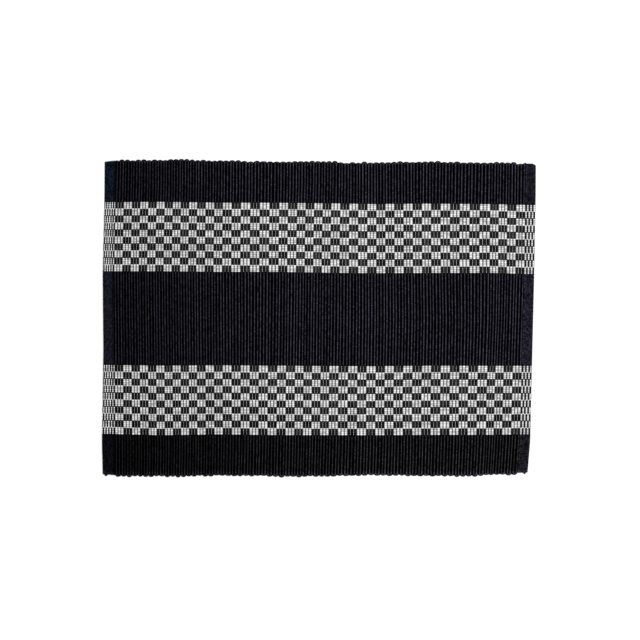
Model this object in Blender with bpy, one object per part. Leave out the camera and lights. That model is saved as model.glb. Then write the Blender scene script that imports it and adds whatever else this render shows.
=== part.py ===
"""Ribbed cotton placemat lying flat on a table, the face up.

It is one piece of rep weave. Thick wefts alternate with thin ones and run along Y, the short side,
so the warp that covers them stands up in ribs on both faces. At the two long edges, the selvages,
each thick weft turns back into the next rib, which leaves an arch over every pair of ribs. At the
two short ends the cloth is woven with thin weft only and is turned under twice as a hem.

The solid is one ribbon. Its section runs along X, from the raw edge tucked into the left hem,
round the two folds of that hem, over and under the ribs, to the raw edge of the right hem.
Each step of the section is a pair of points, one on the face of the cloth and one on its back.
The section is repeated at a few stations in Y, because the mat lies a little out of square.

Metres, +Z up. The origin is on the table, under the middle of the mat.
"""

import collections
import math
import random

import bpy
import bmesh
from mathutils import Vector

MM = 0.001

# Cloth thickness, in metres. Z = 0 is the table.
RIB_TOP = 2.60 * MM
RIB_SHOULDER_DROP = 0.12 * MM
VALLEY_TOP = 2.00 * MM
VALLEY_BOTTOM = 0.50 * MM
HEM_PLY = 0.75 * MM
HEM_PLY_GAP = 0.20 * MM

# Rib layout, as shares of one check column, which is three thick wefts with a thin one between them.
RIBS_PER_COLUMN = 3
THICK_SHARE = 0.30
THIN_SHARE = 0.05
CROWN_SHARE = 0.55

# The weaver's beat: runs of check columns from left to right, and how wide one column came out.
Beat = collections.namedtuple("Beat", "columns width_mm")
BEATS = (
    Beat(10, 8.6),
    Beat(3, 9.1),
    Beat(6, 9.8),
    Beat(2, 9.4),
    Beat(4, 9.0),
    Beat(11, 9.6),
    Beat(3, 9.9),
    Beat(3, 10.6),
    Beat(2, 8.7),
    Beat(2, 9.3),
)

# Lines across the mat: where the outer folds and the seams beside the ribs lie, in millimetres.
Station = collections.namedtuple("Station", "y_mm left_fold left_seam right_seam right_fold")
STATIONS = (
    Station(164.0, -224.4, -213.6, 216.9, 227.1),
    Station(48.1, -226.4, -214.6, 215.1, 225.4),
    Station(-33.6, -225.8, -214.7, 212.9, 223.3),
    Station(-127.9, -227.2, -214.3, 211.1, 221.0),
    Station(-164.5, -226.1, -214.6, 208.9, 217.7),
)

# The two selvages wander: where the far and the near one lie along the mat, in millimetres.
Selvage = collections.namedtuple("Selvage", "x_mm far near")
SELVAGES = (
    Selvage(-225.0, 161.9, -163.4),
    Selvage(-213.0, 164.6, -164.2),
    Selvage(-155.0, 165.4, -164.7),
    Selvage(-98.0, 164.2, -163.8),
    Selvage(-19.0, 163.4, -164.7),
    Selvage(54.0, 162.5, -163.4),
    Selvage(117.0, 163.0, -164.1),
    Selvage(169.0, 162.0, -163.6),
    Selvage(206.0, 161.5, -162.2),
    Selvage(214.0, 161.9, -161.2),
    Selvage(226.0, 160.4, -161.0),
)

# The ribs lean to the left towards the near edge, less so in one stretch.
LESS_LEAN = 3.1 * MM
LESS_LEAN_AT = 0.72
LESS_LEAN_HALF_WIDTH = 0.20
LEAN_FROM_Y = 58.0 * MM
LEAN_LENGTH = 230.0 * MM

# Selvage arches, one over each pair of ribs, and how far the face rounds down to the edge.
ARCH_HEIGHT = 1.25 * MM
ARCH_HEIGHT_SPREAD = 0.45 * MM
ARCH_SHIFT_SPREAD = 0.45 * MM
ARCH_SHARPNESS = 0.6
SELVAGE_ROUNDING = 0.85 * MM
FAR_ARCH_SEED = 2965
NEAR_ARCH_SEED = 2029
STEPS_PER_RIB = 3

# Hem section: arc steps of the two folds, and clearances.
OUTER_FOLD_STEPS = 4
INNER_FOLD_STEPS = 3
INNER_FOLD_TO_SEAM = 0.60 * MM
RAW_EDGE_TO_FOLD = 0.30 * MM
HEM_ROUNDING = 0.30 * MM

# At the near corners the inner ply lies askew: its raw edge peeps out, and its fold is drawn in.
PEEP = 1.5 * MM
DRAWN_IN = 2.5 * MM

COTTON_COLOUR = (0.011, 0.011, 0.014, 1.0)
COTTON_ROUGHNESS = 0.9
CREASE_DEGREES = 50

# One step of the section: X and Z of its face point and its back point, and its place along a selvage.
Pair = collections.namedtuple("Pair", "face_x face_z back_x back_z arch ply")


def clear_scene():
    for old in list(bpy.data.objects):
        bpy.data.objects.remove(old, do_unlink=True)


def between(rows, at, key, value):
    """The value at a place, read along straight lines between a table's rows."""
    for low, high in zip(rows, rows[1:]):
        if at <= getattr(high, key):
            share = (at - getattr(low, key)) / (getattr(high, key) - getattr(low, key))
            share = max(share, 0.0)
            return getattr(low, value) * (1 - share) + getattr(high, value) * share
    return getattr(rows[-1], value)


def column_edges():
    """Shares of the ribbed width at which the check columns meet."""
    widths = [beat.width_mm for beat in BEATS for _ in range(beat.columns)]
    edges = [0.0]
    for width in widths:
        edges.append(edges[-1] + width / sum(widths))
    return edges


def rib_steps():
    """(share of the ribbed width, face Z, back Z) of each valley and of the two shoulders of each rib."""
    steps = []
    shoulder_top = RIB_TOP - RIB_SHOULDER_DROP
    edges = column_edges()
    for start, end in zip(edges, edges[1:]):
        for rib in range(RIBS_PER_COLUMN):
            left = rib * (THICK_SHARE + THIN_SHARE)
            middle = left + THICK_SHARE / 2
            valley = left - THIN_SHARE / 2 if rib else 0.0
            places = (
                (valley, VALLEY_TOP, VALLEY_BOTTOM),
                (middle - THICK_SHARE * CROWN_SHARE / 2, shoulder_top, 0.0),
                (middle + THICK_SHARE * CROWN_SHARE / 2, shoulder_top, 0.0),
            )
            for place, top, bottom in places:
                steps.append((start + (end - start) * place, top, bottom))
    return steps


def rib_pairs(station, lean):
    """The ribbed stretch of the section at one station."""
    left = station.left_seam * MM
    width = (station.right_seam - station.left_seam) * MM
    pairs = []
    for number, (share, top, bottom) in enumerate(rib_steps()):
        off = min(abs(share - LESS_LEAN_AT) / LESS_LEAN_HALF_WIDTH, 1.0)
        x = left + width * share + lean * LESS_LEAN * math.cos(off * math.pi / 2) ** 2
        if number == 0:
            bottom = RIB_TOP - HEM_PLY
        pairs.append(Pair(x, top, x, bottom, number, None))
    x = left + width
    pairs.append(Pair(x, VALLEY_TOP, x, RIB_TOP - HEM_PLY, len(pairs), None))
    return pairs


def fold_points(centre_s, centre_z, radius, start, turn, steps):
    """(face s, face z, back s, back z) round one fold. The face is on the outside of every fold."""
    outside = radius + HEM_PLY / 2
    inside = radius - HEM_PLY / 2
    points = []
    for step in range(steps + 1):
        angle = math.radians(start + turn * step / steps)
        s = -math.cos(angle)
        z = math.sin(angle)
        points.append(
            (centre_s + outside * s, centre_z + outside * z, centre_s + inside * s, centre_z + inside * z)
        )
    return points


def hem_pairs(width, fold_x, inward):
    """The hem's section from its raw edge to its top ply. s runs from the outer fold towards the ribs."""
    bottom_ply = HEM_PLY / 2
    middle_ply = bottom_ply + HEM_PLY + HEM_PLY_GAP
    top_ply = middle_ply + HEM_PLY + HEM_PLY_GAP
    outer_radius = (top_ply - bottom_ply) / 2
    inner_radius = (middle_ply - bottom_ply) / 2
    outer_s = outer_radius + HEM_PLY / 2
    inner_s = width - INNER_FOLD_TO_SEAM - inner_radius - HEM_PLY / 2
    raw_s = outer_s + RAW_EDGE_TO_FOLD
    inner_z = bottom_ply + inner_radius
    points = [(raw_s, middle_ply + HEM_PLY / 2, raw_s, middle_ply - HEM_PLY / 2)]
    points += fold_points(inner_s, inner_z, inner_radius, 90, 180, INNER_FOLD_STEPS)
    points += fold_points(outer_s, middle_ply, outer_radius, -90, 180, OUTER_FOLD_STEPS)
    plies = ["raw"] + ["inner"] * (INNER_FOLD_STEPS + 1) + ["outer"] * (OUTER_FOLD_STEPS + 1)
    pairs = []
    for ply, (face_s, face_z, back_s, back_z) in zip(plies, points):
        pairs.append(
            Pair(fold_x + inward * face_s, face_z, fold_x + inward * back_s, back_z, None, ply)
        )
    return pairs


def section(station):
    """Every pair of the section at one station, from the left raw edge to the right one."""
    lean = (LEAN_FROM_Y - station.y_mm * MM) / LEAN_LENGTH
    left = hem_pairs((station.left_seam - station.left_fold) * MM, station.left_fold * MM, 1)
    right = hem_pairs((station.right_fold - station.right_seam) * MM, station.right_fold * MM, -1)
    return left + rib_pairs(station, lean) + right[::-1]


def arch_offsets(first_rib, seed):
    """How far each step of the ribbed stretch reaches past the selvage's line."""
    rng = random.Random(seed)
    step_count = len(rib_steps()) + 1
    within_rib = (0.0, (1 - CROWN_SHARE) / 2, (1 + CROWN_SHARE) / 2)
    heights = [ARCH_HEIGHT + rng.uniform(-1, 1) * ARCH_HEIGHT_SPREAD for _ in range(step_count)]
    shifts = [rng.uniform(-1, 1) * ARCH_SHIFT_SPREAD for _ in range(step_count)]
    offsets = []
    for step in range(step_count):
        place = (step // STEPS_PER_RIB + within_rib[step % STEPS_PER_RIB] + first_rib) / 2
        arch = int(place)
        rise = math.sin(math.pi * (place - arch)) ** ARCH_SHARPNESS
        offsets.append(heights[arch] * rise + shifts[arch] * (rise > 0))
    return offsets


def end_row(pairs, side):
    """Face, rim and back points along one selvage. side is 1 at the far edge and -1 at the near one."""
    column = "far" if side > 0 else "near"
    # At the far edge the pairs start with half an arch over the first rib, at the near one with a whole one.
    offsets = arch_offsets(1, FAR_ARCH_SEED) if side > 0 else arch_offsets(0, NEAR_ARCH_SEED)
    askew = {"raw": PEEP, "inner": -DRAWN_IN, "outer": 0.0}
    rows = ([], [], [])
    for pair in pairs:
        line = between(SELVAGES, pair.face_x / MM, "x_mm", column) * MM
        rounding = HEM_ROUNDING
        if pair.arch is not None:
            line += side * offsets[pair.arch]
            rounding = SELVAGE_ROUNDING
        elif side < 0:
            line += side * askew[pair.ply]
        inset = line - side * rounding
        rim_x = (pair.face_x + pair.back_x) / 2
        rim_z = (pair.face_z + pair.back_z) / 2
        rows[0].append(Vector((pair.face_x, inset, pair.face_z)))
        rows[1].append(Vector((rim_x, line, rim_z)))
        rows[2].append(Vector((pair.back_x, inset, pair.back_z)))
    return rows


def cloth_rows():
    """Rows of face points and rows of back points, from the far rim round to the near rim."""
    far_face, far_rim, far_back = end_row(section(STATIONS[0]), 1)
    near_face, near_rim, near_back = end_row(section(STATIONS[-1]), -1)
    faces = [far_rim, far_face]
    backs = [far_rim, far_back]
    for station in STATIONS[1:-1]:
        pairs = section(station)
        y = station.y_mm * MM
        faces.append([Vector((pair.face_x, y, pair.face_z)) for pair in pairs])
        backs.append([Vector((pair.back_x, y, pair.back_z)) for pair in pairs])
    faces += [near_face, near_rim]
    backs += [near_back, near_rim]
    return faces, backs


def skin(bm, rows, flip):
    """Quads between neighbouring rows of vertices."""
    for first, second in zip(rows, rows[1:]):
        for step in range(len(first) - 1):
            corners = [first[step], second[step], second[step + 1], first[step + 1]]
            bm.faces.new(corners[::-1] if flip else corners)


def raw_edge(bm, faces, backs, step):
    """Closes the ribbon along one raw edge, with a triangle at each rim."""
    for row in range(len(faces) - 1):
        corners = []
        for vert in (faces[row][step], backs[row][step], backs[row + 1][step], faces[row + 1][step]):
            if vert not in corners:
                corners.append(vert)
        bm.faces.new(corners)


def cotton():
    material = bpy.data.materials.new("black_cotton")
    material.use_nodes = True
    shader = material.node_tree.nodes["Principled BSDF"]
    shader.inputs["Base Color"].default_value = COTTON_COLOUR
    shader.inputs["Roughness"].default_value = COTTON_ROUGHNESS
    shader.inputs["Metallic"].default_value = 0.0
    return material


def centre_on_origin(bm):
    """Moves the cloth so that the middle of its outline is over the origin."""
    xs = [vert.co.x for vert in bm.verts]
    ys = [vert.co.y for vert in bm.verts]
    middle = Vector(((min(xs) + max(xs)) / 2, (min(ys) + max(ys)) / 2, 0.0))
    bmesh.ops.translate(bm, verts=bm.verts, vec=-middle)


def build_placemat():
    face_points, back_points = cloth_rows()
    bm = bmesh.new()
    faces = [[bm.verts.new(point) for point in row] for row in face_points]
    backs = [faces[0]]
    for row in back_points[1:-1]:
        backs.append([bm.verts.new(point) for point in row])
    backs.append(faces[-1])
    skin(bm, faces, False)
    skin(bm, backs, True)
    raw_edge(bm, faces, backs, 0)
    raw_edge(bm, faces, backs, len(faces[0]) - 1)
    bmesh.ops.recalc_face_normals(bm, faces=bm.faces)
    centre_on_origin(bm)
    mesh = bpy.data.meshes.new("placemat")
    bm.to_mesh(mesh)
    bm.free()
    mesh.materials.append(cotton())
    mesh.shade_smooth()
    mesh.set_sharp_from_angle(angle=math.radians(CREASE_DEGREES))
    placemat = bpy.data.objects.new("placemat", mesh)
    bpy.context.scene.collection.objects.link(placemat)


clear_scene()
build_placemat()
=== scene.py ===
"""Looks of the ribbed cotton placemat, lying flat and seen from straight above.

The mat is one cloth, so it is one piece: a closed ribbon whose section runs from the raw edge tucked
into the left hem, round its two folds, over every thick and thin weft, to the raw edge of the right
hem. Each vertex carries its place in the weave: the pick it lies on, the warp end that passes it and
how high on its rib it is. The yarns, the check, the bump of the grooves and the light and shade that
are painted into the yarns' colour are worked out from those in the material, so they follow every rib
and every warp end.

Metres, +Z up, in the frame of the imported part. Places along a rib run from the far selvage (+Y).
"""

import math
import random

import bpy
import numpy as np
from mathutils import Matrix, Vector


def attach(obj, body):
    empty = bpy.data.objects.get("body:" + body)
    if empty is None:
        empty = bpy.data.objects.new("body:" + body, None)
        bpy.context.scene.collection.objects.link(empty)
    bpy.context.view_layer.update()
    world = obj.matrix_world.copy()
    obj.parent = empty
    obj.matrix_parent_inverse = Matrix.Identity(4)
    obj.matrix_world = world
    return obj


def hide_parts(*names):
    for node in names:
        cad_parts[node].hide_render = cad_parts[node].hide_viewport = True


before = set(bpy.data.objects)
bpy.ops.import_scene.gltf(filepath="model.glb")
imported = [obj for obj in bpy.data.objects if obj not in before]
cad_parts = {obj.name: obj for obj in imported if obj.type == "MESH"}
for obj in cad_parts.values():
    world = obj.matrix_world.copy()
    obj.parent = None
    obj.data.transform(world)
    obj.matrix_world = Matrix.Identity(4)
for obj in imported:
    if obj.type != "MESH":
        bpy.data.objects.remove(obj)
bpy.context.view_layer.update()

MM = 0.001

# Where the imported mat's middle, which is its origin, lies among the measured places below.
MIDDLE = np.array((-0.05, 0.226, 0.0)) * MM

# Cloth thickness. Z = 0 is the table.
RIB_TOP = 2.60 * MM
MID_PLANE = 1.30 * MM
VALLEY_TOP = 1.60 * MM
THIN_WEFT_TOP = 1.95 * MM
HEM_PLY = 0.75 * MM
HEM_PLY_GAP = 0.20 * MM

# Rib layout, as shares of one check column, which is three thick wefts with a thin one between them.
# A rib is a thick weft with half of each thin weft beside it.
RIBS_PER_COLUMN = 3
PICKS_PER_COLUMN = 5
THICK_SHARE = 0.30
THIN_SHARE = 0.05
FIRST_RIB_END = THICK_SHARE + THIN_SHARE / 2
RIB_ENDS = (0.0, FIRST_RIB_END, 1 - FIRST_RIB_END, 1.0)
# The weaver's uneven beat, from left to right: how many check columns are how many millimetres wide.
BEATS = (
    (2, 8.75), (5, 8.6), (3, 8.55), (3, 9.0), (2, 9.5), (2, 9.85), (2, 10.1), (2, 9.35),
    (4, 9.0), (11, 9.57), (3, 9.93), (2, 10.4), (1, 10.8), (2, 8.9), (2, 9.4),
)
LAST_PICK = PICKS_PER_COLUMN * sum(columns for columns, _ in BEATS)
# Mesh steps over one weft: the share of its width, and of its height above the valleys.
THICK_STEPS = ((0.0, 0.0), (0.2, 0.80), (0.5, 1.0), (0.8, 0.80))
THIN_STEPS = ((0.0, 0.0), (0.5, 1.0))

# Lines across the mat in millimetres: y, left fold, left seam, right seam, right fold.
STATIONS = np.array((
    (164.0, -224.6, -212.1, 216.9, 227.5),
    (127.0, -224.8, -213.1, 216.4, 227.3),
    (48.1, -226.7, -214.9, 215.4, 225.8),
    (-33.6, -226.0, -214.0, 213.1, 223.8),
    (-127.9, -227.6, -213.5, 210.6, 221.6),
    (-164.5, -226.7, -213.3, 208.1, 218.5),
))
# The hems' sections are worked out on the line nearest the middle and stretched to fit the others.
MIDDLE_STATION = STATIONS[3]
LEFT_HEM_WIDTH = (MIDDLE_STATION[2] - MIDDLE_STATION[1]) * MM
RIGHT_HEM_WIDTH = (MIDDLE_STATION[4] - MIDDLE_STATION[3]) * MM

# Where the two selvages lie along the mat, in millimetres: x, far, near.
SELVAGES = np.array((
    (-226.5, 164.3, -163.3), (-217.5, 165.3, -163.9), (-214.0, 165.2, -164.4), (-185.0, 164.8, -164.4),
    (-155.0, 165.7, -164.7), (-125.0, 164.7, -164.1), (-98.0, 164.6, -163.7), (-72.0, 163.6, -164.2),
    (-45.0, 163.5, -164.5), (-19.0, 163.8, -165.0), (30.0, 162.6, -163.9), (54.0, 162.4, -163.2),
    (70.0, 162.4, -163.6), (86.0, 163.0, -163.5), (101.0, 163.2, -163.9), (117.0, 163.4, -164.3),
    (143.0, 162.8, -163.9), (169.0, 162.1, -164.0), (190.0, 162.6, -162.8), (206.0, 161.5, -163.0),
    (213.5, 162.3, -161.8), (221.0, 162.3, -161.5), (223.0, 161.3, -161.5), (225.0, 160.1, -161.4),
    (227.0, 159.2, -161.4),
))

# How far the ribs stray to the right of that layout, in millimetres, on eight lines across the mat
# from the far selvage to the near one. The first number is the share of the ribbed width.
STRAY_LINES = (160.0, 141.0, 84.0, 40.0, -2.0, -86.0, -142.5, -160.0)
STRAY = np.array((
    (0.0, 0.0, 0.0, 0.0, 0.0, 0.0, 0.0, 0.0, 0.0),
    (0.08, -0.5, 0.0, -0.3, 0.0, 0.1, 0.5, 1.0, 0.6),
    (0.255, -1.1, -0.6, -0.3, 0.2, 0.3, 1.0, 1.2, 1.1),
    (0.305, -1.0, -0.6, -0.3, 0.5, 0.7, 0.9, 1.3, 1.2),
    (0.35, -0.9, -0.5, -0.1, 0.5, 0.5, 0.2, 0.3, 0.2),
    (0.40, -0.3, 0.0, -0.1, 0.3, 0.0, -0.7, -0.7, -0.7),
    (0.50, -0.1, 0.2, -0.4, -0.1, -0.2, -0.3, -0.2, -0.2),
    (0.545, -0.6, -0.3, -0.5, 0.1, 0.3, -0.1, 0.2, 0.2),
    (0.595, -1.3, -0.9, -0.2, 0.5, 1.0, 0.9, 1.4, 1.4),
    (0.695, -2.3, -1.8, -0.4, 0.5, 1.5, 1.2, 2.7, 2.9),
    (0.79, -0.8, -0.8, -0.5, 0.8, 2.4, 2.4, 3.5, 3.9),
    (0.84, -0.4, -0.4, -0.5, 0.7, 2.2, 2.3, 3.2, 3.5),
    (0.89, 0.0, 0.0, -0.5, 0.5, 1.4, 0.6, 1.7, 1.8),
    (0.94, 0.0, 0.0, 0.0, 0.4, 0.6, -0.6, -0.3, -0.3),
    (1.0, 0.0, 0.0, 0.0, 0.0, 0.0, 0.0, 0.0, 0.0),
))

# Selvage arches, one over each pair of ribs: the thick weft turns back in them. The pairs at the far
# selvage start with half an arch over the first rib, those at the near one with a whole arch.
FAR_FIRST_RIB = 1
NEAR_FIRST_RIB = 0
FAR_ARCH_SEED = 2965
NEAR_ARCH_SEED = 2029
ARCH_DRAWS = 415
ARCH_HEIGHT = 1.40 * MM
ARCH_HEIGHT_SPREAD = 0.55 * MM
ARCH_SHIFT_SPREAD = 0.50 * MM
ARCH_SHARPNESS = 0.6
# The shift fades out on an arch's flanks, where the arch rises less than a third of its height.
SHIFT_STEEPNESS = 3
# An arch bends the rows inside it too, less and less down to this distance from the selvage.
ARCH_REACH = 5.0 * MM
ARCH_FADE = 1.5
# Where two ribs turn into their arch: its depth and roundness, how far from the selvage the turn starts,
# over what distance it blends in, and how full its top is.
TURN_DEPTH = 2.0 * MM
TURN_ROUNDNESS = 3
TURN_START = 3.4 * MM
TURN_BLEND = 2.2 * MM
TURN_FULLNESS = 2.6
# The edges of the cloth are rounded off over these distances.
RIB_ROUNDING = 1.2 * MM
HEM_ROUNDING = 0.35 * MM

# The turned hems. Their picks are finer in the left one.
LEFT_HEM_PICK = 1.23 * MM
RIGHT_HEM_PICK = 1.70 * MM
HEM_RIPPLE = 0.09 * MM
INNER_FOLD_TO_SEAM = 0.60 * MM
RAW_EDGE_TO_FOLD = 0.30 * MM
TUCKED_STEPS = 11
INNER_FOLD_STEPS = 4
OUTER_FOLD_STEPS = 8
STEPS_PER_HEM_PICK = 2
# Height of the ribs' underside at the seams, where the cloth climbs onto the folded plies.
SEAM_BACK = 1.30 * MM
# At the near corners the tucked ply peeps out with a blunt point, and the plies under it are drawn in.
PEEP = 1.9 * MM
PEEP_PLACE = 3.1 * MM
PEEP_REACH = 1.8 * MM
PEEP_BLUNTNESS = 1.4
DRAWN_IN = 2.5 * MM
# A ply is the tucked one if it faces up below the first height, or else a lower one below the second.
TUCKED_BELOW = RIB_TOP - 1.5 * HEM_PLY
LOWER_BELOW = 2 * HEM_PLY

# Rows of the mesh: distances from a selvage, and how many lie between the two selvages' own rows.
EDGE_ROWS = np.array((0.0, 0.12, 0.35, 0.70, 1.15, 1.70, 2.40, 3.30, 4.60, 6.50)) * MM
INNER_ROWS = 37

# Slow unevenness of the cloth: how far the ribs drift sideways and how much their height varies, each
# with its numbers of knots along the ribs and across them.
WANDER_SEED = 11
DRIFT = 0.12 * MM
DRIFT_KNOTS = (9, 150)
FULLNESS = 0.05
FULLNESS_KNOTS = (14, 300)

# Warp, counted in pairs of ends from the far selvage. A bead of yarn on a rib is one pair wide.
BAND_1 = (24, 64)
BAND_2 = (118, 158)
LAST_PAIR = 181
PAIRS_PER_CHECK = 4
# The two sets of ends swap faces at each pick. The beads of the second set lie this many pairs further
# from the far selvage than those of the first, so the beads of neighbouring picks are staggered.
SET_SHIFT = 0.35
# Where the bands lie, in millimetres: x, far and near edge of band 1, far and near edge of band 2.
BANDS = np.array((
    (-219.4, 121.9, 49.4, -48.7, -120.9),
    (-165.9, 122.3, 49.4, -49.4, -122.3),
    (-103.1, 121.4, 48.8, -49.1, -121.4),
    (-40.2, 121.3, 48.7, -49.5, -122.2),
    (22.6, 120.6, 47.7, -49.9, -122.3),
    (54.1, 120.0, 47.4, -50.1, -122.4),
    (116.9, 120.4, 47.6, -49.5, -122.0),
    (179.8, 119.9, 47.7, -49.6, -121.9),
    (217.5, 119.0, 46.6, -49.6, -121.5),
))

# Parts of the cloth's section.
LEFT_HEM, RIBS, RIGHT_HEM = 0, 1, 2


def between(table, at, column):
    """A column of a table whose first column rises or falls, read along straight lines."""
    order = np.argsort(table[:, 0])
    return np.interp(at, table[order, 0], table[order, column])


def hump(share):
    """1 in the middle of a stretch, falling evenly to 0 at its two ends."""
    return 1 - abs(2 * share - 1)


def column_edges():
    """Shares of the ribbed width at which the check columns meet."""
    widths = [width for columns, width in BEATS for _ in range(columns)]
    return np.concatenate(([0.0], np.cumsum(widths) / sum(widths)))


class Section:
    """The steps of the cloth's section from the left raw edge to the right one, one array entry each."""

    NAMES = "part share rib pick crown face_z back_z s z normal_s normal_z".split()

    def __init__(self):
        self.rows = []

    def add(self, **values):
        self.rows.append([values.get(name, 0.0) for name in self.NAMES])

    def add_hem(self, part, path, seam_pick, way):
        """Adds a hem's steps, whose picks are counted on from the pick at its seam."""
        for s, z, normal_s, normal_z, picks in path:
            self.add(
                part=part, s=s, z=z, normal_s=normal_s, normal_z=normal_z,
                pick=seam_pick + way * picks, crown=hump(picks % 1),
            )

    def close(self):
        table = np.array(self.rows)
        for number, name in enumerate(self.NAMES):
            setattr(self, name, table[:, number])
        self.in_ribs = self.part == RIBS
        self.count = len(table)


def rib_shares():
    """Each step of the ribbed stretch: its share of the width, rib, pick, crown and height on the face."""
    edges = column_edges()
    for column, (start, end) in enumerate(zip(edges, edges[1:])):
        left = 0.0
        for pick in range(PICKS_PER_COLUMN):
            thick = pick % 2 == 0
            wide = THICK_SHARE if thick else THIN_SHARE
            top = (RIB_TOP if thick else THIN_WEFT_TOP) - VALLEY_TOP
            for across, height in THICK_STEPS if thick else THIN_STEPS:
                place = left + wide * across
                yield (
                    start + (end - start) * place,
                    column * RIBS_PER_COLUMN + np.interp(place, RIB_ENDS, range(len(RIB_ENDS))),
                    column * PICKS_PER_COLUMN + pick + across,
                    hump(across),
                    VALLEY_TOP + top * height,
                )
            left += wide
    yield (1.0, (len(edges) - 1) * RIBS_PER_COLUMN, LAST_PICK, 0.0, VALLEY_TOP)


def fold(middle_s, middle_z, radius, first_angle, steps):
    """Points round half a fold without its last one: s, z and the normal's s and z."""
    points = []
    for step in range(steps):
        angle = math.radians(first_angle + 180 * step / steps)
        s, z = -math.cos(angle), math.sin(angle)
        points.append((middle_s + radius * s, middle_z + radius * z, s, z))
    return points


def flat_ply(start, end, z, normal_z, spacing):
    """Points along a flat ply without its last one: s, z and the normal's s and z."""
    steps = max(int(abs(end - start) / spacing), 2)
    return [(start + (end - start) * step / steps, z, 0.0, normal_z) for step in range(steps)]


def hem_path(width, pick_width):
    """A hem's centre line from its raw edge to the seam: s from the outer fold in, z, normal, picks."""
    low = (HEM_PLY + HEM_RIPPLE) / 2
    middle = low + HEM_PLY + HEM_PLY_GAP
    high = middle + HEM_PLY + HEM_PLY_GAP
    outer = (high - low) / 2
    inner = (middle - low) / 2
    outer_s = outer + HEM_PLY / 2
    inner_s = width - INNER_FOLD_TO_SEAM - inner - HEM_PLY / 2
    spacing = pick_width / STEPS_PER_HEM_PICK
    tucked = np.linspace(outer_s + RAW_EDGE_TO_FOLD, inner_s, TUCKED_STEPS)
    path = np.array([
        *((s, middle, 0.0, 1.0) for s in tucked),
        *fold(inner_s, low + inner, inner, 90, INNER_FOLD_STEPS)[1:],
        *flat_ply(inner_s, outer_s, low, -1.0, spacing),
        *fold(outer_s, middle, outer, -90, OUTER_FOLD_STEPS),
        *flat_ply(outer_s, width, high, 1.0, spacing),
    ])
    steps = np.hypot(np.diff(path[:, 0]), np.diff(path[:, 1]))
    to_seam = np.concatenate((np.cumsum(steps[::-1])[::-1], [0.0])) + width - path[-1, 0]
    return np.column_stack((path, to_seam / pick_width))


def build_section():
    """All steps of the section, in order."""
    section = Section()
    section.add_hem(LEFT_HEM, hem_path(LEFT_HEM_WIDTH, LEFT_HEM_PICK), 0, -1)
    for share, rib, pick, crown, top in rib_shares():
        section.add(
            part=RIBS, share=share, rib=rib, pick=pick, crown=crown, face_z=top, back_z=2 * MID_PLANE - top
        )
    section.add_hem(RIGHT_HEM, hem_path(RIGHT_HEM_WIDTH, RIGHT_HEM_PICK)[::-1], LAST_PICK, 1)
    section.close()
    ribs = np.flatnonzero(section.in_ribs)
    section.back_z[ribs[[0, -1]]] = SEAM_BACK
    return section


def arch_offsets(section, first_rib, seed):
    """How far each step reaches past the selvage's line, and how far it is from its arch's middle."""
    rng = random.Random(seed)
    heights = np.array([ARCH_HEIGHT + rng.uniform(-1, 1) * ARCH_HEIGHT_SPREAD for _ in range(ARCH_DRAWS)])
    shifts = np.array([rng.uniform(-1, 1) * ARCH_SHIFT_SPREAD for _ in range(ARCH_DRAWS)])
    place = (section.rib + first_rib) / 2
    arch = np.floor(place).astype(int)
    within = place - arch
    rise = np.sin(math.pi * within).clip(0) ** ARCH_SHARPNESS
    offsets = heights[arch] * rise + shifts[arch] * np.minimum(rise * SHIFT_STEEPNESS, 1)
    return np.where(section.in_ribs, offsets, 0.0), np.abs(2 * within - 1)


def corner_offsets(section):
    """How far the plies inside the hems reach past the near selvage's line, or stay behind it."""
    tucked = (~section.in_ribs) & (section.z < TUCKED_BELOW) & (section.normal_z > 0)
    lower = (~section.in_ribs) & ~tucked & (section.z < LOWER_BELOW)
    point = 1 - np.abs(section.s - PEEP_PLACE) / PEEP_REACH
    peeping = np.where(tucked, PEEP * (PEEP_BLUNTNESS * point).clip(0, 1), 0.0)
    return peeping - np.where(lower, DRAWN_IN * section.s / section.s.max(), 0.0)


def wander(rng, rows, steps, knots):
    """A smooth random field from -1 to 1 over rows and steps, drawn at a number of knots each way."""
    knots_y, knots_x = knots
    grid = rng.uniform(-1, 1, (knots_y, knots_x))
    x = np.linspace(0, knots_x - 1, steps)
    y = np.linspace(0, knots_y - 1, rows)
    along = np.array([np.interp(x, np.arange(knots_x), line) for line in grid])
    return np.array([np.interp(y, np.arange(knots_y), line) for line in along.T]).T


def stray(section, y):
    """How far each step of the ribs lies to the right of the even layout, for an array of Y of one row."""
    amounts = np.array([between(STRAY, section.share, 1 + line) for line in range(len(STRAY_LINES))])
    place = np.interp(-y / MM, -np.array(STRAY_LINES), np.arange(len(STRAY_LINES)))
    line = np.minimum(place.astype(int), len(STRAY_LINES) - 2)
    step = np.arange(section.count)
    return (amounts[line, step] * (line + 1 - place) + amounts[line + 1, step] * (place - line)) * MM


def x_of(section, y, drift):
    """X of the centre line at each step, for an array of Y of one row."""
    sides = [between(STATIONS, y / MM, column) * MM for column in (1, 2, 3, 4)]
    left_fold, left_seam, right_seam, right_fold = sides
    left = left_fold + section.s * (left_seam - left_fold) / LEFT_HEM_WIDTH
    ribs = left_seam + (right_seam - left_seam) * section.share + stray(section, y) + drift
    right = right_fold - section.s * (right_fold - right_seam) / RIGHT_HEM_WIDTH
    return np.choose(section.part.astype(int), (left, ribs, right))


def arch_hold(depth):
    """How much of its selvage's arches a row follows."""
    return max(1 - depth / ARCH_REACH, 0.0) ** ARCH_FADE


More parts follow.
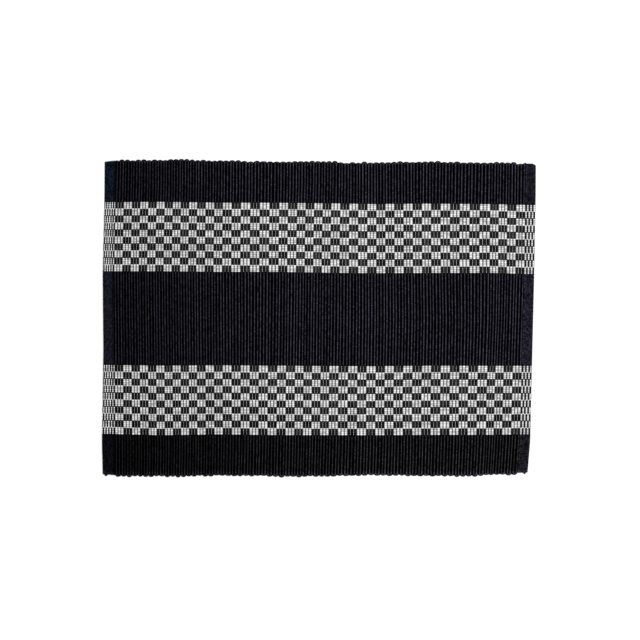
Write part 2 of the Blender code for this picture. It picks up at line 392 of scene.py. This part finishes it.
def cloth_rows(section):
    """Every row from the far selvage to the near one: Y at each step, the row's distance from its
    selvage, and how far each step is from its arch's middle, or None away from the selvages."""
    x = x_of(section, np.zeros(section.count), 0.0) / MM
    far = between(SELVAGES, x, 1) * MM
    near = between(SELVAGES, x, 2) * MM
    far_arch, far_off = arch_offsets(section, FAR_FIRST_RIB, FAR_ARCH_SEED)
    near_arch, near_off = arch_offsets(section, NEAR_FIRST_RIB, NEAR_ARCH_SEED)
    near_arch = near_arch + corner_offsets(section)
    inside = EDGE_ROWS[-1]
    rows = [(far + far_arch * arch_hold(depth) - depth, depth, far_off) for depth in EDGE_ROWS]
    for step in range(1, INNER_ROWS + 1):
        share = step / (INNER_ROWS + 1)
        rows.append(((far - inside) * (1 - share) + (near + inside) * share, inside, None))
    rows += [(near - near_arch * arch_hold(depth) + depth, depth, near_off) for depth in EDGE_ROWS[::-1]]
    return rows


def turned(depth, off):
    """Crown and height shares of a row near a selvage, where a pair of ribs turns into one arch, and
    how far the ribs have turned there."""
    inward = max(1 - depth / TURN_DEPTH, 0.0)
    place = np.minimum((off**TURN_ROUNDNESS + inward**TURN_ROUNDNESS) ** (1 / TURN_ROUNDNESS), 1.0)
    crown = hump(place)
    height = 1 - (1 - crown) ** TURN_FULLNESS
    share = float(np.clip((TURN_START - depth) / TURN_BLEND, 0, 1))
    return crown, height, share * share * (3 - 2 * share)


def rib_heights(section, depth, off):
    """Crown and Z of face and back at each step of a row, and how far the ribs have turned there."""
    if off is None:
        return section.crown, section.face_z, section.back_z, np.zeros(section.count)
    bent, height, share = turned(depth, off)
    turn = np.where(section.in_ribs, share, 0.0)
    top = VALLEY_TOP + (RIB_TOP - VALLEY_TOP) * height
    crown = section.crown + (bent - section.crown) * turn
    face_z = section.face_z + (top - section.face_z) * turn
    back_z = section.back_z + (2 * MID_PLANE - top - section.back_z) * turn
    return crown, face_z, back_z, turn


def edge_taper(section, depth):
    """The share of its thickness that the cloth has at a distance from a selvage."""
    rounding = np.where(section.in_ribs, RIB_ROUNDING, HEM_ROUNDING)
    left = 1 - np.minimum(depth / rounding, 1.0)
    return np.sqrt(1 - left * left)


def hem_points(section, x, y, crown, taper):
    """Face and back points of the hems' plies, half a ply to either side of their centre line."""
    half = (HEM_PLY / 2 + HEM_RIPPLE * (crown - 0.5)) * taper
    inwards = np.where(section.part == RIGHT_HEM, -1.0, 1.0)
    centre = np.stack((x, y, section.z), 1)
    out = np.stack((inwards * section.normal_s * half, np.zeros(section.count), section.normal_z * half), 1)
    return centre + out, centre - out


def cloth_points(section):
    """Face and back points of every row, the crown at each of them and how far the rib has turned there."""
    rows = cloth_rows(section)
    rng = np.random.default_rng(WANDER_SEED)
    drift = wander(rng, len(rows), section.count, DRIFT_KNOTS) * DRIFT
    fullness = wander(rng, len(rows), section.count, FULLNESS_KNOTS) * FULLNESS
    in_ribs = section.in_ribs[:, None]
    faces, backs, crowns, turning = [], [], [], []
    for row, (y, depth, off) in enumerate(rows):
        x = x_of(section, y, drift[row])
        crown, face_z, back_z, turn = rib_heights(section, depth, off)
        taper = edge_taper(section, depth)
        swell = 1 + fullness[row] * crown
        rib_face = np.stack((x, y, MID_PLANE + (face_z - MID_PLANE) * swell * taper), 1)
        rib_back = np.stack((x, y, MID_PLANE + (back_z - MID_PLANE) * taper), 1)
        hem_face, hem_back = hem_points(section, x, y, crown, taper)
        faces.append(np.where(in_ribs, rib_face, hem_face))
        backs.append(np.where(in_ribs, rib_back, hem_back))
        crowns.append(crown)
        turning.append(turn)
    return np.array(faces), np.array(backs), np.array(crowns), np.array(turning)


def warp_place(x, y):
    """The warp pair that passes each point, counted from the far selvage."""
    at, down = x / MM, y / MM
    bands = [between(BANDS, at, column) for column in (1, 2, 3, 4)]
    lines = [between(SELVAGES, at, 1), *bands, between(SELVAGES, at, 2)]
    # A band's first white beads belong to the second set of ends, which is shifted, its last to the first.
    marks = (0.0, BAND_1[0] + SET_SHIFT, BAND_1[1], BAND_2[0] + SET_SHIFT, BAND_2[1], LAST_PAIR)
    place = np.zeros(at.shape)
    stretches = len(marks) - 1
    for number in range(stretches):
        top, bottom = lines[number], lines[number + 1]
        share = (top - down) / (top - bottom)
        here = marks[number] + (marks[number + 1] - marks[number]) * share
        use = ((share >= 0) | (number == 0)) & ((share <= 1) | (number == stretches - 1))
        place = np.where(use, here, place)
    return place


def both_sides(face, back):
    """Values of the face's vertices and then of the back's, which shares the rows on the selvages."""
    shape = face.shape[2:]
    return np.concatenate((face.reshape(-1, *shape), back[1:-1].reshape(-1, *shape)))


def skin(indices, flip):
    """Quads between neighbouring rows of vertex numbers."""
    a, b, c, d = indices[:-1, :-1], indices[1:, :-1], indices[1:, 1:], indices[:-1, 1:]
    quads = np.stack((a, b, c, d), -1).reshape(-1, 4)
    return quads[:, ::-1] if flip else quads


def raw_edge(faces, backs, flip):
    """The strip that closes the ribbon along one raw edge, with a triangle at each selvage."""
    strips = []
    for row in range(len(faces) - 1):
        corners = []
        for vert in (faces[row], backs[row], backs[row + 1], faces[row + 1]):
            if vert not in corners:
                corners.append(int(vert))
        strips.append(corners[::-1] if flip else corners)
    return strips


def keep_values(mesh, name, values):
    """Keeps a number for each vertex, for the material."""
    mesh.attributes.new(name, "FLOAT", "POINT").data.foreach_set("value", values.astype(np.float32))


def keep_weave(mesh, section, places, crowns, turning):
    """Keeps each vertex's place in the weave, and on which face and how far in a turn it lies."""
    picks = np.broadcast_to(section.pick, crowns.shape)
    weave = np.stack((both_sides(picks, picks), places, both_sides(crowns, crowns)), 1)
    attribute = mesh.attributes.new("weave_place", "FLOAT_VECTOR", "POINT")
    attribute.data.foreach_set("vector", weave.astype(np.float32).ravel())
    keep_values(mesh, "underside", both_sides(np.zeros(crowns.shape), np.ones(crowns.shape)))
    keep_values(mesh, "turning", both_sides(turning, turning))


def build_cloth():
    """The whole cloth as one closed mesh."""
    section = build_section()
    faces, backs, crowns, turning = cloth_points(section)
    rows, steps = crowns.shape
    face_ids = np.arange(rows * steps).reshape(rows, steps)
    back_ids = face_ids.copy()
    back_ids[1:-1] = np.arange((rows - 2) * steps).reshape(rows - 2, steps) + rows * steps
    points = both_sides(faces, backs)
    polygons = skin(face_ids, False).tolist() + skin(back_ids, True).tolist()
    polygons += raw_edge(face_ids[:, 0], back_ids[:, 0], True)
    polygons += raw_edge(face_ids[:, -1], back_ids[:, -1], False)
    mesh = bpy.data.meshes.new("placemat_cloth")
    mesh.from_pydata((points - MIDDLE).tolist(), [], polygons)
    mesh.shade_smooth()
    keep_weave(mesh, section, warp_place(points[:, 0], points[:, 1]), crowns, turning)
    lay_out(mesh, faces)
    cloth = bpy.data.objects.new("placemat_cloth", mesh)
    bpy.context.scene.collection.objects.link(cloth)
    return cloth


# Room for the face and the back of the cloth in its flat layout, and the layout's left side and width.
FACE_ROOM = (0.37, 0.995)
BACK_ROOM = (0.005, 0.36)
LAYOUT_LEFT = 0.003
LAYOUT_WIDTH = 0.994


def lay_out(mesh, faces):
    """A flat layout of the cloth for keeping its finish: the face above, the back below."""
    rows, steps = faces.shape[:2]
    lengths = np.linalg.norm(np.diff(faces[rows // 2], axis=0), axis=1)
    run = np.concatenate(([0.0], np.cumsum(lengths)))
    across = LAYOUT_LEFT + LAYOUT_WIDTH * run / run[-1]
    down = faces[:, steps // 2, 1]
    down = (down - down.min()) / (down.max() - down.min())

    # Each corner's row and step. The back's own vertices start with its second row.
    vertex = np.empty(len(mesh.loops), np.int32)
    mesh.loops.foreach_get("vertex_index", vertex)
    total = rows * steps
    grid = np.where(vertex >= total, vertex - total + steps, vertex)
    row, step = grid // steps, grid % steps

    # The back's quads come straight after the face's.
    back_quad = np.zeros(len(mesh.polygons), bool)
    quads = (rows - 1) * (steps - 1)
    back_quad[quads:2 * quads] = True
    totals = np.empty(len(mesh.polygons), np.int32)
    mesh.polygons.foreach_get("loop_total", totals)
    on_back = np.repeat(back_quad, totals)
    low = np.where(on_back, BACK_ROOM[0], FACE_ROOM[0])
    high = np.where(on_back, BACK_ROOM[1], FACE_ROOM[1])
    uv = np.stack((across[step], low + (high - low) * down[row]), 1)
    layer = mesh.uv_layers.new(name="OFBake")
    layer.uv.foreach_set("vector", uv.astype(np.float32).ravel())


class Finish:
    """A material and its nodes."""

    def __init__(self, name):
        self.material = bpy.data.materials.new(name)
        self.material.use_nodes = True
        self.tree = self.material.node_tree
        self.shader = self.tree.nodes["Principled BSDF"]

    def node(self, kind, settings=None, **inputs):
        """Adds a node. Its settings go in first, then the values or links of its sockets, which are
        given by name or as i and their number."""
        made = self.tree.nodes.new("ShaderNode" + kind)
        for name, value in (settings or {}).items():
            setattr(made, name, value)
        for name, value in inputs.items():
            self.feed(made.inputs[int(name[1:]) if name[1:].isdigit() else name], value)
        return made

    def feed(self, socket, value):
        if isinstance(value, Value):
            self.tree.links.new(value.socket, socket)
        else:
            socket.default_value = value

    def value(self, socket):
        return Value(self, socket)

    def kept(self, name, output="Fac"):
        """A value that is kept on the mesh's vertices."""
        made = self.node("Attribute", {"attribute_name": name, "attribute_type": "GEOMETRY"})
        return self.value(made.outputs[output])

    def surface(self, **inputs):
        """Sets or links sockets of the shader, whose names have _ for a space here."""
        for name, value in inputs.items():
            self.feed(self.shader.inputs[name.replace("_", " ")], value)


class Value:
    """What changes over a surface. Sums and products of numbers add Math nodes."""

    def __init__(self, finish, socket):
        self.finish = finish
        self.socket = socket

    def maths(self, operation, *others):
        inputs = {f"i{n}": v for n, v in enumerate((self, *others))}
        made = self.finish.node("Math", {"operation": operation}, **inputs)
        return Value(self.finish, made.outputs[0])

    def __add__(self, other):
        return self.maths("ADD", other)

    def __mul__(self, other):
        return self.maths("MULTIPLY", other)

    def __sub__(self, other):
        return self.maths("SUBTRACT", other)

    def __rsub__(self, other):
        return (self * -1.0) + other

    def __truediv__(self, other):
        return self.maths("DIVIDE", other)

    def __pow__(self, other):
        return self.maths("POWER", other)

    def __gt__(self, other):
        return self.maths("GREATER_THAN", other)

    def __lt__(self, other):
        return self.maths("LESS_THAN", other)

    def __abs__(self):
        return self.maths("ABSOLUTE")

    __radd__ = __add__
    __rmul__ = __mul__

    def floor(self):
        return self.maths("FLOOR")

    def fract(self):
        return self.maths("FRACT")

    def at_least(self, least):
        return self.maths("MAXIMUM", least)

    def ramp(self, low, high, start=0.0, end=1.0):
        """Goes smoothly from start to end as the value goes from low to high."""
        inputs = dict(zip(("i1", "i2", "i3", "i4"), (low, high, start, end)))
        made = self.finish.node("MapRange", {"interpolation_type": "SMOOTHSTEP"}, i0=self, **inputs)
        return Value(self.finish, made.outputs[0])


def mixed(share, first, second):
    """A colour between two others."""
    made = share.finish.node("Mix", {"data_type": "RGBA"}, i0=share, i6=first, i7=second)
    return share.finish.value(made.outputs[2])


def scaled(colour, amount):
    """A colour made darker or lighter by an amount."""
    made = colour.finish.node("VectorMath", {"operation": "SCALE"}, i0=colour, i3=amount)
    return colour.finish.value(made.outputs[0])


def stretched(place, amounts):
    """A place whose three numbers are multiplied by an amount each."""
    made = place.finish.node("VectorMath", {"operation": "MULTIPLY"}, i0=place, i1=amounts)
    return place.finish.value(made.outputs[0])


def joined(x, y, z):
    """A place made of three numbers, of which at least the first is a Value."""
    made = x.finish.node("CombineXYZ", None, i0=x, i1=y, i2=z)
    return x.finish.value(made.outputs[0])


def apart(place):
    """The three numbers of a place."""
    made = place.finish.node("SeparateXYZ", None, i0=place)
    return [place.finish.value(socket) for socket in made.outputs]


def chance(place):
    """An even random number from 0 to 1 for each whole place."""
    made = place.finish.node("TexWhiteNoise", {"noise_dimensions": "3D"}, Vector=place)
    return place.finish.value(made.outputs["Value"])


def noise(spot, waves, detail, rough):
    """A cloudy number, mostly near 0.5, with this many waves for each metre along X, Y and Z."""
    place = stretched(spot, waves)
    made = spot.finish.node(
        "TexNoise", {"noise_dimensions": "3D"}, Vector=place, Scale=1.0, Detail=detail, Roughness=rough
    )
    return spot.finish.value(made.outputs[0])


def in_band(pair, band):
    """1 where an end runs in a band of checks."""
    return (pair > band[0]) * (pair < band[1])


def white_in(pair, band, second_set):
    """1 where an end is white in a band of checks: its two sets of ends swap colours row by row."""
    odd_row = ((pair - band[0]) / (2.0 * PAIRS_PER_CHECK)).fract() > 0.5
    return in_band(pair, band) * abs(odd_row - second_set)


# Yarn colours. The black is neutral in the checks, bluer away from the near edge and navy in the hems. That
# bluer tint, and the one on the turned ribs at the near selvage, is a painted bluish sheen.
WHITE_COTTON = (0.81, 0.81, 0.81, 1.0)
CHECK_BLACK = (0.055, 0.055, 0.055, 1.0)
NEAR_BLACK = (0.079, 0.078, 0.088, 1.0)
# These two blacks carry the painted bluish sheen.
FAR_BLACK_PAINTED_SHEEN = (0.079, 0.0745, 0.110, 1.0)
RIM_BLACK_PAINTED_SHEEN = (0.081, 0.077, 0.118, 1.0)
HEM_NAVY = (0.104, 0.099, 0.160, 1.0)
HEM_GREY = (0.104, 0.099, 0.137, 1.0)
HEM_TEAL = (0.058, 0.087, 0.155, 1.0)

# Stretches over which the yarns change, as ramps: from where, to where, and amounts if not 0 and 1.
# Y from the strip beside the near edge, which is painted duller as shade, to the rest of the mat, and up
# the left hem and the right hem, whose far part is painted duller as shade.
PAST_NEAR_STRIP = (-0.12, -0.06)
TEAL_STRETCH = (-0.02, 0.14)
RIGHT_HEM_PAINTED_SHADE = (0.02, 0.16)
# X across the mat: painted light that makes the black, the black in the near strip and the white duller
# towards the left hem.
BLACK_PAINTED_LIGHT = (-0.30, 0.02, 0.39, 1.0)
NEAR_STRIP_PAINTED_LIGHT = (-0.15, 0.10, 0.50, 0.71)
WHITE_PAINTED_LIGHT = (-0.15, -0.03, 0.94, 1.02)
# Warp pairs near the two selvages, where the ribs turn.
FAR_RIM = (2.4, 0.4)
NEAR_RIM = (LAST_PAIR - 2.8, LAST_PAIR - 0.4)
# Picks beside the seams and towards the right hem's fold.
LEFT_SEAM = (-2.6, -0.4)
RIGHT_SEAM = (LAST_PICK + 1.8, LAST_PICK + 0.3)
RIGHT_FOLD = (LAST_PICK + 3.4, LAST_PICK + 6.6)
# Shares of a bead's half width over which the painted shade of its groove deepens, and of a rib's height
# over which the white's painted shade on the flank fades and the crest grows smoother.
GROOVE_SHADE_STRETCH = (0.40, 1.0)
RIB_FLANK = (0.0, 0.72)
RIB_CREST = (0.5, 1.0)

# Waves of the noise for each metre along X, Y and Z. Fibres run across the ribs, as the warp does.
FIBRE_WAVES = (500.0, 2600.0, 2600.0)
STREAK_WAVES = (450.0, 260.0, 260.0)
PATCH_WAVES = (38.0, 38.0, 38.0)
# Numbers in a place that give ends, picks and strands chances of their own.
END_CHANCE = 3.0
PICK_CHANCE = 7.0
STRAND_CHANCE = 5.0
# How far the tone spreads about 1 from bead to bead, from end to end and so on, and its lowest value.
BEAD_SPREAD = 0.55
BRIGHT_BEAD_SPREAD = 0.5
END_SPREAD = 0.12
HEM_STRAND_SPREAD = 2.3
PATCH_SPREAD = 0.25
DARKEST_TONE = 0.05

# How narrow the painted highlight is on the crest of a black rib, and how much more so in the checks. The
# rest of the rib is painted dark as shade.
CREST_NARROWNESS = 5.0
CHECK_CREST_EXTRA = 1.5
# The black of the flat hems: its brightness in the valleys of its ripple, and how much more on top as a
# painted highlight.
HEM_BRIGHTNESS = 0.11
HEM_RIPPLE_PAINTED_HIGHLIGHT = 0.06
# Painted shade: the share of its brightness that yarn loses on the thin wefts, in its grooves and low on a
# rib's flank, where less light falls.
BLACK_THIN_PAINTED_SHADE = 0.9
BLACK_GROOVE_PAINTED_SHADE = 0.5
WHITE_THIN_PAINTED_SHADE = 0.36
WHITE_GROOVE_PAINTED_SHADE = 0.60
WHITE_FLANK_PAINTED_SHADE = 0.61
# Painted highlight: the share of brightness that the black gains where the ribs turn at the selvages.
FAR_RIM_PAINTED_HIGHLIGHT = 0.45
NEAR_RIM_PAINTED_HIGHLIGHT = 1.3

BEAD_RELIEF = 0.16 * MM
COTTON_SPECULAR = 0.015
COTTON_SPECULAR_TINT = (0.75, 0.70, 1.0, 1.0)


class Weave:
    """Where each point lies on the mat and in its weave, for the material."""

    def __init__(self, finish):
        self.spot = finish.value(finish.node("TexCoord").outputs["Object"])
        self.across, self.along, _ = apart(self.spot)
        self.past_strip = self.along.ramp(*PAST_NEAR_STRIP)
        self.fibres = noise(self.spot, FIBRE_WAVES, detail=3.0, rough=0.6)

        self.pick, self.end, self.crown = apart(finish.kept("weave_place", "Vector"))
        self.turning = finish.kept("turning")
        self.near_rim = self.end.ramp(*NEAR_RIM)
        self.far_rim = self.end.ramp(*FAR_RIM)
        self.number = self.pick.floor()
        self.left_hem = self.pick < 0.0
        self.right_hem = self.pick > LAST_PICK
        self.hem = self.left_hem + self.right_hem
        self.in_ribs = 1.0 - self.hem
        self.left_seam = self.left_hem * self.pick.ramp(*LEFT_SEAM)
        in_column = ((self.number + 0.5) / PICKS_PER_COLUMN).fract() * PICKS_PER_COLUMN
        self.thin = self.in_ribs * ((in_column / 2.0).fract() > 0.5)

        # The second set of ends shows on odd picks, and on even ones on the underside.
        odd_pick = ((self.number + 0.5) / 2.0).fract() > 0.5
        below = finish.kept("underside") > 0.5
        self.second_set = abs(odd_pick - below)
        bead = self.end - self.second_set * SET_SHIFT
        self.pair = bead.floor() + 0.5
        self.side = abs(bead.fract() * 2.0 - 1.0)
        # Painted shade that darkens each bead towards its sides, in the grooves between beads.
        self.groove_shade = self.side.ramp(*GROOVE_SHADE_STRETCH)
        self.checked = in_band(self.pair, BAND_1) + in_band(self.pair, BAND_2)
        self.white = white_in(self.pair, BAND_1, self.second_set)
        self.white = self.white + white_in(self.pair, BAND_2, self.second_set)


def black_dye(weave):
    """The black yarn's colour, with a painted bluish sheen away from the near edge and on the turned ribs
    at the near selvage.
    """
    black = mixed(weave.past_strip, NEAR_BLACK, FAR_BLACK_PAINTED_SHEEN)
    black = mixed(weave.near_rim, black, RIM_BLACK_PAINTED_SHEEN)
    navy = mixed(weave.left_hem * weave.along.ramp(*TEAL_STRETCH), HEM_NAVY, HEM_TEAL)
    navy = mixed(weave.right_hem * (1.0 - weave.past_strip), navy, HEM_GREY)
    black = mixed(weave.hem, black, navy)
    return mixed(weave.checked, black, CHECK_BLACK)


def black_painted_light(weave):
    """The black's painted light: duller towards the left hem and beside the near edge as painted shade, and
    brighter on the turned ribs along the selvages as a painted highlight."""
    near_strip = weave.across.ramp(*NEAR_STRIP_PAINTED_LIGHT)
    strip = near_strip + weave.past_strip * (1.0 - near_strip)
    rim_highlights = weave.near_rim * NEAR_RIM_PAINTED_HIGHLIGHT + weave.far_rim * FAR_RIM_PAINTED_HIGHLIGHT + 1.0
    return weave.across.ramp(*BLACK_PAINTED_LIGHT) * strip * rim_highlights


def hem_painted_light(weave):
    """How much brighter than plain the black of the hems is, as painted light and shade: brighter at the
    right hem's seam and fold and along the left hem, dull up the right hem and dark at the left seam."""
    right_seam = weave.right_hem * weave.pick.ramp(*RIGHT_SEAM)
    right_fold = weave.right_hem * weave.pick.ramp(*RIGHT_FOLD)
    lift = weave.left_hem * (weave.past_strip * 0.33 + 0.12) + right_seam * 0.50 + right_fold * 0.42
    up_right_hem = (1.0 - weave.past_strip) * 0.14 - weave.along.ramp(*RIGHT_HEM_PAINTED_SHADE) * 0.24 - 0.09
    return (lift + weave.right_hem * up_right_hem + 1.0) * (1.0 - weave.left_seam * 0.75)


def black_painted_shading(weave):
    """How bright the black yarn is, as painted light and shade: only the crests of the ribs gleam, as a
    painted highlight, more narrowly in the checks and hardly on the thin wefts, and the flat hems are even.
    The grooves between beads are painted darker as shade."""
    painted_crest = weave.crown ** (weave.checked * CHECK_CREST_EXTRA + CREST_NARROWNESS)
    painted_crest = painted_crest * (1.0 - weave.thin * (1.0 - weave.turning) * BLACK_THIN_PAINTED_SHADE)
    even = (weave.crown * HEM_RIPPLE_PAINTED_HIGHLIGHT + HEM_BRIGHTNESS) * hem_painted_light(weave)
    groove_shade = 1.0 - weave.groove_shade * BLACK_GROOVE_PAINTED_SHADE
    return (painted_crest + (even - painted_crest) * weave.hem) * groove_shade * black_painted_light(weave)


def white_painted_shading(weave):
    """How bright the white yarn is, as painted shade: darker on the flanks of the ribs, in the grooves
    between beads, on the thin wefts and at the left seam, and a little duller towards the left hem. Flanks
    lose most in the left hem, and grooves in both hems."""
    low = 1.0 - weave.crown.ramp(*RIB_FLANK)
    flank = 1.0 - low * (weave.left_hem * (1.0 - WHITE_FLANK_PAINTED_SHADE) + WHITE_FLANK_PAINTED_SHADE)
    groove_shade = 1.0 - weave.groove_shade * (weave.hem * 0.15 + WHITE_GROOVE_PAINTED_SHADE)
    thin = 1.0 - weave.thin * WHITE_THIN_PAINTED_SHADE
    hem = weave.left_hem * 0.18 - weave.left_seam * 0.16 + 1.0
    return flank * groove_shade * thin * weave.across.ramp(*WHITE_PAINTED_LIGHT) * hem


def yarn_tone(weave):
    """How much brighter or darker than its neighbours each yarn is. The black varies more."""
    black = 1.0 - weave.white
    each_bead = chance(joined(weave.number, weave.pair, weave.second_set))
    each_end = chance(joined(weave.pair, weave.second_set, END_CHANCE))
    each_pick = chance(joined(weave.number, PICK_CHANCE, 0.0))
    # A strand is half a pair of ends over half a pick, the fine speckle of the hems.
    each_strand = chance(joined((weave.pick * 2.0).floor(), (weave.end * 2.0).floor(), STRAND_CHANCE))
    streaks = noise(weave.spot, STREAK_WAVES, detail=2.0, rough=0.6)
    patches = noise(weave.spot, PATCH_WAVES, detail=3.0, rough=0.55)

    # Picks vary most in the black of the ribs, and streaks too. Fibres show twice as much in the black.
    pick_spread = black * weave.in_ribs * 0.40 + weave.white * weave.left_hem * 0.20 + 0.12
    streak_spread = black * (weave.in_ribs * 0.7 + 0.6) + 0.3
    fibre_spread = black * 0.4 + 0.4
    # The fourth power, whose mean is 0.2, makes a few black beads much brighter than the rest.
    tone = (each_bead - 0.5) * BEAD_SPREAD + (each_bead**4.0 - 0.2) * black * BRIGHT_BEAD_SPREAD
    tone = tone + (each_end - 0.5) * END_SPREAD + (each_pick - 0.5) * pick_spread
    tone = tone + (each_strand - 0.5) * black * weave.hem * HEM_STRAND_SPREAD
    tone = tone + (streaks - 0.5) * streak_spread + (weave.fibres - 0.5) * fibre_spread
    tone = tone + (patches - 0.5) * PATCH_SPREAD + 1.0
    return tone.at_least(DARKEST_TONE)


def ribbed_cotton():
    """Black cotton with two bands of black and white check, in round beads of yarn."""
    finish = Finish("ribbed_cotton")
    weave = Weave(finish)
    # The yarns' colour carries painted light and shade on ribs, grooves and hems, times their own random
    # tone.
    dark = black_painted_shading(weave)
    painted_shading_and_tone = (dark + (white_painted_shading(weave) - dark) * weave.white) * yarn_tone(weave)
    bulge = (1.0 - weave.side * weave.side) ** 0.5
    height = bulge * 0.8 + weave.fibres * 0.35
    bump = finish.node("Bump", None, Strength=0.5, Distance=BEAD_RELIEF, Height=height)
    finish.surface(
        Base_Color=scaled(mixed(weave.white, black_dye(weave), WHITE_COTTON), painted_shading_and_tone),
        Roughness=1.0 - weave.crown.ramp(*RIB_CREST) * 0.55 + (weave.fibres - 0.5) * 0.1,
        Normal=finish.value(bump.outputs[0]),
        Specular_IOR_Level=COTTON_SPECULAR,
        Specular_Tint=COTTON_SPECULAR_TINT,
    )
    return finish.material


# The floor lies a little under the mat and reaches this far from its middle, in metres.
FLOOR_DROP = 0.1 * MM
FLOOR_REACH = 40.0
FLOOR_PALE = (0.96, 0.96, 0.96, 1.0)
FLOOR_ROUGHNESS = 0.9
FLOOR_GLOW = 0.15

WHITE_LIGHT = (1.0, 1.0, 1.0, 1.0)
SOFTBOX_PLACE = (0.30, 0.18, 1.5)
SOFTBOX_SIZE = 0.8
SOFTBOX_WATTS = 14.4
AIR_BRIGHTNESS = 0.55


def pale_floor():
    """A plain pale floor, lit evenly."""
    mesh = bpy.data.meshes.new("studio_floor")
    reach = FLOOR_REACH
    corners = [(-reach, -reach, 0.0), (reach, -reach, 0.0), (reach, reach, 0.0), (-reach, reach, 0.0)]
    mesh.from_pydata(corners, [], [(0, 1, 2, 3)])
    floor = bpy.data.objects.new("studio_floor", mesh)
    bpy.context.scene.collection.objects.link(floor)
    floor.location.z = -FLOOR_DROP
    finish = Finish("studio_floor")
    finish.surface(
        Base_Color=FLOOR_PALE,
        Roughness=FLOOR_ROUGHNESS,
        Specular_IOR_Level=0.0,
        Emission_Color=WHITE_LIGHT,
        Emission_Strength=FLOOR_GLOW,
    )
    mesh.materials.append(finish.material)


def softbox(name, place, size, watts):
    """A square area light that looks at the mat."""
    light = bpy.data.lights.new(name, "AREA")
    light.shape = "SQUARE"
    light.size = size
    light.energy = watts
    lamp = bpy.data.objects.new(name, light)
    bpy.context.scene.collection.objects.link(lamp)
    lamp.location = place
    lamp.rotation_euler = (-Vector(place)).to_track_quat("-Z", "Y").to_euler()


def studio():
    """The floor, one soft light over the far right and even light from all round."""
    pale_floor()
    softbox("overhead_softbox", SOFTBOX_PLACE, SOFTBOX_SIZE, SOFTBOX_WATTS)
    world = bpy.data.worlds.new("studio_air")
    world.use_nodes = True
    background = world.node_tree.nodes["Background"]
    background.inputs["Color"].default_value = WHITE_LIGHT
    background.inputs["Strength"].default_value = AIR_BRIGHTNESS
    bpy.context.scene.world = world
    bpy.context.scene.view_settings.view_transform = "Standard"


# The photo's width on the tops of the ribs, and where its centre falls on the mat.
PHOTO_WIDTH = 670.5 * MM
PHOTO_CENTRE = (1.20 * MM, -1.84 * MM)
LENS = 85.0
NEAREST_SEEN = 0.1
FARTHEST_SEEN = 10.0


def camera():
    """Straight above, so far away that the photo's width at the top of the ribs fills the frame."""
    data = bpy.data.cameras.new("overhead_camera")
    data.lens = LENS
    data.clip_start = NEAREST_SEEN
    data.clip_end = FARTHEST_SEEN
    eye = bpy.data.objects.new("overhead_camera", data)
    bpy.context.scene.collection.objects.link(eye)
    distance = PHOTO_WIDTH * LENS / data.sensor_width
    eye.location = (*PHOTO_CENTRE, RIB_TOP + distance)
    bpy.context.scene.camera = eye


cloth = build_cloth()
cloth.data.materials.append(ribbed_cotton())
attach(cloth, "root")
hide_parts("placemat")
studio()
camera()
